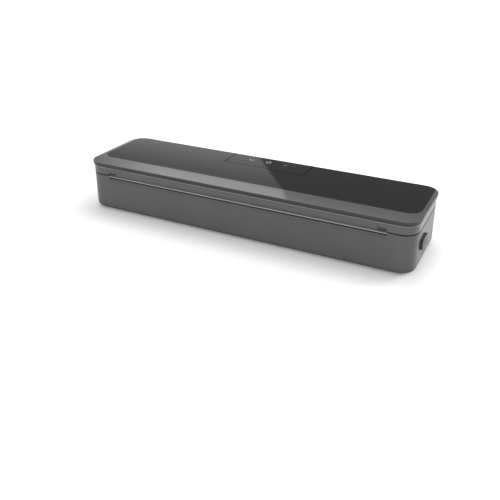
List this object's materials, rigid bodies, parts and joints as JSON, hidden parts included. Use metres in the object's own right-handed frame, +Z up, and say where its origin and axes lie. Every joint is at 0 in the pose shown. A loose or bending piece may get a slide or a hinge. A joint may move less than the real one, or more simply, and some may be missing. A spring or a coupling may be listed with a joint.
{
  "type": "vacuum sealer",
  "caption": "Slim countertop vacuum sealer: long rounded base with a front bag slot, hinged glossy lid with an inset touch strip, and release buttons in its ends.",
  "frame": {"origin": "centre of the footprint on the counter, under the feet", "axes": "+X to the right along the sealer as the user faces it, +Y away from the user to the hinge side, +Z up"},
  "size_m": [0.376, 0.0974, 0.0563],
  "materials": {
    "housing_plastic": "dark grey, fine satin",
    "deck_plastic": "dark grey, satin",
    "lip_trim": "light grey, satin",
    "band_plastic": "dark grey, polished",
    "panel_gloss": "near black, polished",
    "button_plastic": "dark grey, satin",
    "slider_plastic": "natural acetal",
    "black_plastic": "black, satin",
    "red_plastic": "red, satin",
    "rubber_black": "matt",
    "gasket_foam": "closed-cell foam, matt",
    "silicone_grey": "silicone, matt",
    "hose_silicone": "translucent silicone",
    "release_fabric": "coated glass cloth",
    "ribbon_alloy": "bright resistance alloy",
    "steel": "bright zinc",
    "core_steel": "laminated steel, varnished",
    "winding_copper": "enamelled copper wire under tape",
    "board_green": "solder mask"
  },
  "bodies": {
    "base": {"base_housing": "housing_plastic", "deck": "deck_plastic", "bag_lip": "lip_trim", "lower_gasket": "gasket_foam", "heater_bar": "black_plastic", "heating_ribbon": "ribbon_alloy", "release_tape": "release_fabric", "suction_port": "black_plastic", "vacuum_hose": "hose_silicone", "pump_head": "black_plastic", "pump_motor": "steel", "pump_bracket": "black_plastic", "release_valve": "black_plastic", "transformer_core": "core_steel", "transformer_coil": "winding_copper", "power_board": "board_green", "board_components": "black_plastic", "lid_switch": "black_plastic", "cord_gland": "rubber_black", "rubber_feet": "rubber_black", "deck_screws": "steel", "hinge_pins": "steel", "latch_spring_left": "steel", "latch_spring_right": "steel"},
    "lid": {"lid_shell": "housing_plastic", "top_plate": "band_plastic", "gloss_panel": "panel_gloss", "control_panel": "panel_gloss", "control_board": "board_green", "touch_pads": "gasket_foam", "lid_liner": "deck_plastic", "upper_gasket": "gasket_foam", "pressure_strip": "silicone_grey", "latch_hook_left": "black_plastic", "latch_hook_right": "black_plastic", "lid_screws": "steel"},
    "latch_left": {"release_button_left": "button_plastic", "latch_slider_left": "slider_plastic"},
    "latch_right": {"release_button_right": "button_plastic", "latch_slider_right": "slider_plastic"},
    "plunger": {"switch_plunger": "red_plastic"},
    "crank": {"pump_crank": "steel"}
  },
  "joints": [
    {"name": "lid_hinge", "type": "hinge", "parent": "base", "child": "lid", "pos_m": [0, 0.04575, 0.04225], "axis": [-1, 0, 0], "range_deg": [0, 75]},
    {"name": "latch_left_slide", "type": "slide", "parent": "base", "child": "latch_left", "axis": [1, 0, 0], "range_m": [0, 0.0026], "stiffness_N_per_m": 400, "deforming": ["latch_spring_left"]},
    {"name": "latch_right_slide", "type": "slide", "parent": "base", "child": "latch_right", "axis": [-1, 0, 0], "range_m": [0, 0.0026], "stiffness_N_per_m": 400, "deforming": ["latch_spring_right"]},
    {"name": "plunger_slide", "type": "slide", "parent": "base", "child": "plunger", "axis": [0, 0, -1], "range_m": [0, 0.001], "stiffness_N_per_m": 300},
    {"name": "crank_spin", "type": "hinge", "parent": "base", "child": "crank", "pos_m": [0.0755, 0.019, 0.0186], "axis": [1, 0, 0], "continuous": true}
  ]
}
